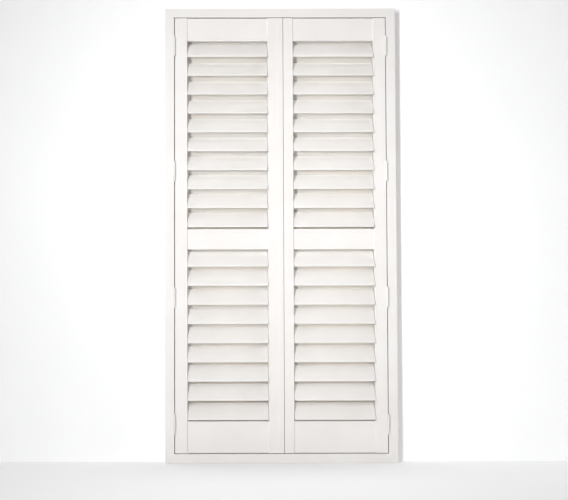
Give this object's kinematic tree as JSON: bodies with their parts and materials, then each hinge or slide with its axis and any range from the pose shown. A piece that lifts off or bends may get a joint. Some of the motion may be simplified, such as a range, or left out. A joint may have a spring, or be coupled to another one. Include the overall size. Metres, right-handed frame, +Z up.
{
  "type": "louvred window shutters",
  "caption": "White louvred window shutters: two panels hinged in a mitred rebate frame, with lapped meeting stiles, a middle rail, turning elliptical louvres and hidden tilt bars.",
  "frame": {"origin": "under the middle of the sill, in the plane of the louvre pivots", "axes": "+X to the viewer's right across the width, +Y from the room side towards the back, +Z up"},
  "size_m": [0.952, 0.0703, 1.872],
  "materials": {
    "painted_frame": "satin white paint",
    "painted_panel": "satin white paint",
    "painted_louvre": "satin white paint",
    "coated_hinge": "white powder coat",
    "coated_bar": "white powder coat"
  },
  "bodies": {
    "frame": {"frame_head": "painted_frame", "frame_sill": "painted_frame", "frame_jamb_left": "painted_frame", "frame_jamb_right": "painted_frame", "hinge_frame_leaves": "coated_hinge", "hinge_pins": "coated_hinge"},
    "panel_left": {"stile_left_hinge": "painted_panel", "stile_left_meeting": "painted_panel", "top_rail_left": "painted_panel", "mid_rail_left": "painted_panel", "bottom_rail_left": "painted_panel", "hinge_leaves_left": "coated_hinge"},
    "panel_right": {"stile_right_hinge": "painted_panel", "stile_right_meeting": "painted_panel", "top_rail_right": "painted_panel", "mid_rail_right": "painted_panel", "bottom_rail_right": "painted_panel", "hinge_leaves_right": "coated_hinge"},
    "louvre_left_upper_01": {"louvre_left_upper_01": "painted_louvre"},
    "louvre_left_upper_02": {"louvre_left_upper_02": "painted_louvre"},
    "louvre_left_upper_03": {"louvre_left_upper_03": "painted_louvre"},
    "louvre_left_upper_04": {"louvre_left_upper_04": "painted_louvre"},
    "louvre_left_upper_05": {"louvre_left_upper_05": "painted_louvre"},
    "louvre_left_upper_06": {"louvre_left_upper_06": "painted_louvre"},
    "louvre_left_upper_07": {"louvre_left_upper_07": "painted_louvre"},
    "louvre_left_upper_08": {"louvre_left_upper_08": "painted_louvre"},
    "louvre_left_upper_09": {"louvre_left_upper_09": "painted_louvre"},
    "louvre_left_upper_10": {"louvre_left_upper_10": "painted_louvre"},
    "tilt_bar_left_upper": {"tilt_bar_left_upper": "coated_bar"},
    "louvre_left_lower_01": {"louvre_left_lower_01": "painted_louvre"},
    "louvre_left_lower_02": {"louvre_left_lower_02": "painted_louvre"},
    "louvre_left_lower_03": {"louvre_left_lower_03": "painted_louvre"},
    "louvre_left_lower_04": {"louvre_left_lower_04": "painted_louvre"},
    "louvre_left_lower_05": {"louvre_left_lower_05": "painted_louvre"},
    "louvre_left_lower_06": {"louvre_left_lower_06": "painted_louvre"},
    "louvre_left_lower_07": {"louvre_left_lower_07": "painted_louvre"},
    "louvre_left_lower_08": {"louvre_left_lower_08": "painted_louvre"},
    "louvre_left_lower_09": {"louvre_left_lower_09": "painted_louvre"},
    "tilt_bar_left_lower": {"tilt_bar_left_lower": "coated_bar"},
    "louvre_right_upper_01": {"louvre_right_upper_01": "painted_louvre"},
    "louvre_right_upper_02": {"louvre_right_upper_02": "painted_louvre"},
    "louvre_right_upper_03": {"louvre_right_upper_03": "painted_louvre"},
    "louvre_right_upper_04": {"louvre_right_upper_04": "painted_louvre"},
    "louvre_right_upper_05": {"louvre_right_upper_05": "painted_louvre"},
    "louvre_right_upper_06": {"louvre_right_upper_06": "painted_louvre"},
    "louvre_right_upper_07": {"louvre_right_upper_07": "painted_louvre"},
    "louvre_right_upper_08": {"louvre_right_upper_08": "painted_louvre"},
    "louvre_right_upper_09": {"louvre_right_upper_09": "painted_louvre"},
    "louvre_right_upper_10": {"louvre_right_upper_10": "painted_louvre"},
    "tilt_bar_right_upper": {"tilt_bar_right_upper": "coated_bar"},
    "louvre_right_lower_01": {"louvre_right_lower_01": "painted_louvre"},
    "louvre_right_lower_02": {"louvre_right_lower_02": "painted_louvre"},
    "louvre_right_lower_03": {"louvre_right_lower_03": "painted_louvre"},
    "louvre_right_lower_04": {"louvre_right_lower_04": "painted_louvre"},
    "louvre_right_lower_05": {"louvre_right_lower_05": "painted_louvre"},
    "louvre_right_lower_06": {"louvre_right_lower_06": "painted_louvre"},
    "louvre_right_lower_07": {"louvre_right_lower_07": "painted_louvre"},
    "louvre_right_lower_08": {"louvre_right_lower_08": "painted_louvre"},
    "louvre_right_lower_09": {"louvre_right_lower_09": "painted_louvre"},
    "tilt_bar_right_lower": {"tilt_bar_right_lower": "coated_bar"}
  },
  "joints": [
    {"name": "open_panel_left", "type": "hinge", "parent": "frame", "child": "panel_left", "pos_m": [-0.4365, -0.0195, 0.936], "axis": [0, 0, -1], "range_deg": [0, 175]},
    {"name": "open_panel_right", "type": "hinge", "parent": "frame", "child": "panel_right", "pos_m": [0.4365, -0.0195, 0.936], "axis": [0, 0, 1], "range_deg": [0, 175]},
    {"name": "tilt_left_upper", "type": "hinge", "parent": "panel_left", "child": "louvre_left_upper_01", "pos_m": [-0.384, 0, 1.698], "axis": [1, 0, 0], "range_deg": [-116, 24]},
    {"name": "turn_left_upper_02", "type": "hinge", "parent": "panel_left", "child": "louvre_left_upper_02", "pos_m": [-0.384, 0, 1.62], "axis": [1, 0, 0], "range_deg": [-116, 24]},
    {"name": "turn_left_upper_03", "type": "hinge", "parent": "panel_left", "child": "louvre_left_upper_03", "pos_m": [-0.384, 0, 1.542], "axis": [1, 0, 0], "range_deg": [-116, 24]},
    {"name": "turn_left_upper_04", "type": "hinge", "parent": "panel_left", "child": "louvre_left_upper_04", "pos_m": [-0.384, 0, 1.464], "axis": [1, 0, 0], "range_deg": [-116, 24]},
    {"name": "turn_left_upper_05", "type": "hinge", "parent": "panel_left", "child": "louvre_left_upper_05", "pos_m": [-0.384, 0, 1.386], "axis": [1, 0, 0], "range_deg": [-116, 24]},
    {"name": "turn_left_upper_06", "type": "hinge", "parent": "panel_left", "child": "louvre_left_upper_06", "pos_m": [-0.384, 0, 1.308], "axis": [1, 0, 0], "range_deg": [-116, 24]},
    {"name": "turn_left_upper_07", "type": "hinge", "parent": "panel_left", "child": "louvre_left_upper_07", "pos_m": [-0.384, 0, 1.23], "axis": [1, 0, 0], "range_deg": [-116, 24]},
    {"name": "turn_left_upper_08", "type": "hinge", "parent": "panel_left", "child": "louvre_left_upper_08", "pos_m": [-0.384, 0, 1.152], "axis": [1, 0, 0], "range_deg": [-116, 24]},
    {"name": "turn_left_upper_09", "type": "hinge", "parent": "panel_left", "child": "louvre_left_upper_09", "pos_m": [-0.384, 0, 1.074], "axis": [1, 0, 0], "range_deg": [-116, 24]},
    {"name": "turn_left_upper_10", "type": "hinge", "parent": "panel_left", "child": "louvre_left_upper_10", "pos_m": [-0.384, 0, 0.996], "axis": [1, 0, 0], "range_deg": [-116, 24]},
    {"name": "hang_bar_left_upper", "type": "hinge", "parent": "louvre_left_upper_01", "child": "tilt_bar_left_upper", "pos_m": [-0.3665, 0.03369, 1.73289], "axis": [1, 0, 0], "range_deg": [-24, 116]},
    {"name": "tilt_left_lower", "type": "hinge", "parent": "panel_left", "child": "louvre_left_lower_01", "pos_m": [-0.384, 0, 0.834], "axis": [1, 0, 0], "range_deg": [-116, 24]},
    {"name": "turn_left_lower_02", "type": "hinge", "parent": "panel_left", "child": "louvre_left_lower_02", "pos_m": [-0.384, 0, 0.756], "axis": [1, 0, 0], "range_deg": [-116, 24]},
    {"name": "turn_left_lower_03", "type": "hinge", "parent": "panel_left", "child": "louvre_left_lower_03", "pos_m": [-0.384, 0, 0.678], "axis": [1, 0, 0], "range_deg": [-116, 24]},
    {"name": "turn_left_lower_04", "type": "hinge", "parent": "panel_left", "child": "louvre_left_lower_04", "pos_m": [-0.384, 0, 0.6], "axis": [1, 0, 0], "range_deg": [-116, 24]},
    {"name": "turn_left_lower_05", "type": "hinge", "parent": "panel_left", "child": "louvre_left_lower_05", "pos_m": [-0.384, 0, 0.522], "axis": [1, 0, 0], "range_deg": [-116, 24]},
    {"name": "turn_left_lower_06", "type": "hinge", "parent": "panel_left", "child": "louvre_left_lower_06", "pos_m": [-0.384, 0, 0.444], "axis": [1, 0, 0], "range_deg": [-116, 24]},
    {"name": "turn_left_lower_07", "type": "hinge", "parent": "panel_left", "child": "louvre_left_lower_07", "pos_m": [-0.384, 0, 0.366], "axis": [1, 0, 0], "range_deg": [-116, 24]},
    {"name": "turn_left_lower_08", "type": "hinge", "parent": "panel_left", "child": "louvre_left_lower_08", "pos_m": [-0.384, 0, 0.288], "axis": [1, 0, 0], "range_deg": [-116, 24]},
    {"name": "turn_left_lower_09", "type": "hinge", "parent": "panel_left", "child": "louvre_left_lower_09", "pos_m": [-0.384, 0, 0.21], "axis": [1, 0, 0], "range_deg": [-116, 24]},
    {"name": "hang_bar_left_lower", "type": "hinge", "parent": "louvre_left_lower_01", "child": "tilt_bar_left_lower", "pos_m": [-0.3665, 0.03369, 0.86889], "axis": [1, 0, 0], "range_deg": [-24, 116]},
    {"name": "tilt_right_upper", "type": "hinge", "parent": "panel_right", "child": "louvre_right_upper_01", "pos_m": [0.0525, 0, 1.698], "axis": [1, 0, 0], "range_deg": [-116, 24]},
    {"name": "turn_right_upper_02", "type": "hinge", "parent": "panel_right", "child": "louvre_right_upper_02", "pos_m": [0.0525, 0, 1.62], "axis": [1, 0, 0], "range_deg": [-116, 24]},
    {"name": "turn_right_upper_03", "type": "hinge", "parent": "panel_right", "child": "louvre_right_upper_03", "pos_m": [0.0525, 0, 1.542], "axis": [1, 0, 0], "range_deg": [-116, 24]},
    {"name": "turn_right_upper_04", "type": "hinge", "parent": "panel_right", "child": "louvre_right_upper_04", "pos_m": [0.0525, 0, 1.464], "axis": [1, 0, 0], "range_deg": [-116, 24]},
    {"name": "turn_right_upper_05", "type": "hinge", "parent": "panel_right", "child": "louvre_right_upper_05", "pos_m": [0.0525, 0, 1.386], "axis": [1, 0, 0], "range_deg": [-116, 24]},
    {"name": "turn_right_upper_06", "type": "hinge", "parent": "panel_right", "child": "louvre_right_upper_06", "pos_m": [0.0525, 0, 1.308], "axis": [1, 0, 0], "range_deg": [-116, 24]},
    {"name": "turn_right_upper_07", "type": "hinge", "parent": "panel_right", "child": "louvre_right_upper_07", "pos_m": [0.0525, 0, 1.23], "axis": [1, 0, 0], "range_deg": [-116, 24]},
    {"name": "turn_right_upper_08", "type": "hinge", "parent": "panel_right", "child": "louvre_right_upper_08", "pos_m": [0.0525, 0, 1.152], "axis": [1, 0, 0], "range_deg": [-116, 24]},
    {"name": "turn_right_upper_09", "type": "hinge", "parent": "panel_right", "child": "louvre_right_upper_09", "pos_m": [0.0525, 0, 1.074], "axis": [1, 0, 0], "range_deg": [-116, 24]},
    {"name": "turn_right_upper_10", "type": "hinge", "parent": "panel_right", "child": "louvre_right_upper_10", "pos_m": [0.0525, 0, 0.996], "axis": [1, 0, 0], "range_deg": [-116, 24]},
    {"name": "hang_bar_right_upper", "type": "hinge", "parent": "louvre_right_upper_01", "child": "tilt_bar_right_upper", "pos_m": [0.07, 0.03369, 1.73289], "axis": [1, 0, 0], "range_deg": [-24, 116]},
    {"name": "tilt_right_lower", "type": "hinge", "parent": "panel_right", "child": "louvre_right_lower_01", "pos_m": [0.0525, 0, 0.834], "axis": [1, 0, 0], "range_deg": [-116, 24]},
    {"name": "turn_right_lower_02", "type": "hinge", "parent": "panel_right", "child": "louvre_right_lower_02", "pos_m": [0.0525, 0, 0.756], "axis": [1, 0, 0], "range_deg": [-116, 24]},
    {"name": "turn_right_lower_03", "type": "hinge", "parent": "panel_right", "child": "louvre_right_lower_03", "pos_m": [0.0525, 0, 0.678], "axis": [1, 0, 0], "range_deg": [-116, 24]},
    {"name": "turn_right_lower_04", "type": "hinge", "parent": "panel_right", "child": "louvre_right_lower_04", "pos_m": [0.0525, 0, 0.6], "axis": [1, 0, 0], "range_deg": [-116, 24]},
    {"name": "turn_right_lower_05", "type": "hinge", "parent": "panel_right", "child": "louvre_right_lower_05", "pos_m": [0.0525, 0, 0.522], "axis": [1, 0, 0], "range_deg": [-116, 24]},
    {"name": "turn_right_lower_06", "type": "hinge", "parent": "panel_right", "child": "louvre_right_lower_06", "pos_m": [0.0525, 0, 0.444], "axis": [1, 0, 0], "range_deg": [-116, 24]},
    {"name": "turn_right_lower_07", "type": "hinge", "parent": "panel_right", "child": "louvre_right_lower_07", "pos_m": [0.0525, 0, 0.366], "axis": [1, 0, 0], "range_deg": [-116, 24]},
    {"name": "turn_right_lower_08", "type": "hinge", "parent": "panel_right", "child": "louvre_right_lower_08", "pos_m": [0.0525, 0, 0.288], "axis": [1, 0, 0], "range_deg": [-116, 24]},
    {"name": "turn_right_lower_09", "type": "hinge", "parent": "panel_right", "child": "louvre_right_lower_09", "pos_m": [0.0525, 0, 0.21], "axis": [1, 0, 0], "range_deg": [-116, 24]},
    {"name": "hang_bar_right_lower", "type": "hinge", "parent": "louvre_right_lower_01", "child": "tilt_bar_right_lower", "pos_m": [0.07, 0.03369, 0.86889], "axis": [1, 0, 0], "range_deg": [-24, 116]}
  ],
  "couplings": [
    {"joint": "open_panel_right", "follows": "open_panel_left", "ratio": 1},
    {"joint": "turn_left_upper_02", "follows": "tilt_left_upper", "ratio": 1},
    {"joint": "turn_left_upper_03", "follows": "tilt_left_upper", "ratio": 1},
    {"joint": "turn_left_upper_04", "follows": "tilt_left_upper", "ratio": 1},
    {"joint": "turn_left_upper_05", "follows": "tilt_left_upper", "ratio": 1},
    {"joint": "turn_left_upper_06", "follows": "tilt_left_upper", "ratio": 1},
    {"joint": "turn_left_upper_07", "follows": "tilt_left_upper", "ratio": 1},
    {"joint": "turn_left_upper_08", "follows": "tilt_left_upper", "ratio": 1},
    {"joint": "turn_left_upper_09", "follows": "tilt_left_upper", "ratio": 1},
    {"joint": "turn_left_upper_10", "follows": "tilt_left_upper", "ratio": 1},
    {"joint": "hang_bar_left_upper", "follows": "tilt_left_upper", "ratio": -1},
    {"joint": "turn_left_lower_02", "follows": "tilt_left_lower", "ratio": 1},
    {"joint": "turn_left_lower_03", "follows": "tilt_left_lower", "ratio": 1},
    {"joint": "turn_left_lower_04", "follows": "tilt_left_lower", "ratio": 1},
    {"joint": "turn_left_lower_05", "follows": "tilt_left_lower", "ratio": 1},
    {"joint": "turn_left_lower_06", "follows": "tilt_left_lower", "ratio": 1},
    {"joint": "turn_left_lower_07", "follows": "tilt_left_lower", "ratio": 1},
    {"joint": "turn_left_lower_08", "follows": "tilt_left_lower", "ratio": 1},
    {"joint": "turn_left_lower_09", "follows": "tilt_left_lower", "ratio": 1},
    {"joint": "hang_bar_left_lower", "follows": "tilt_left_lower", "ratio": -1},
    {"joint": "turn_right_upper_02", "follows": "tilt_right_upper", "ratio": 1},
    {"joint": "turn_right_upper_03", "follows": "tilt_right_upper", "ratio": 1},
    {"joint": "turn_right_upper_04", "follows": "tilt_right_upper", "ratio": 1},
    {"joint": "turn_right_upper_05", "follows": "tilt_right_upper", "ratio": 1},
    {"joint": "turn_right_upper_06", "follows": "tilt_right_upper", "ratio": 1},
    {"joint": "turn_right_upper_07", "follows": "tilt_right_upper", "ratio": 1},
    {"joint": "turn_right_upper_08", "follows": "tilt_right_upper", "ratio": 1},
    {"joint": "turn_right_upper_09", "follows": "tilt_right_upper", "ratio": 1},
    {"joint": "turn_right_upper_10", "follows": "tilt_right_upper", "ratio": 1},
    {"joint": "hang_bar_right_upper", "follows": "tilt_right_upper", "ratio": -1},
    {"joint": "turn_right_lower_02", "follows": "tilt_right_lower", "ratio": 1},
    {"joint": "turn_right_lower_03", "follows": "tilt_right_lower", "ratio": 1},
    {"joint": "turn_right_lower_04", "follows": "tilt_right_lower", "ratio": 1},
    {"joint": "turn_right_lower_05", "follows": "tilt_right_lower", "ratio": 1},
    {"joint": "turn_right_lower_06", "follows": "tilt_right_lower", "ratio": 1},
    {"joint": "turn_right_lower_07", "follows": "tilt_right_lower", "ratio": 1},
    {"joint": "turn_right_lower_08", "follows": "tilt_right_lower", "ratio": 1},
    {"joint": "turn_right_lower_09", "follows": "tilt_right_lower", "ratio": 1},
    {"joint": "hang_bar_right_lower", "follows": "tilt_right_lower", "ratio": -1}
  ]
}
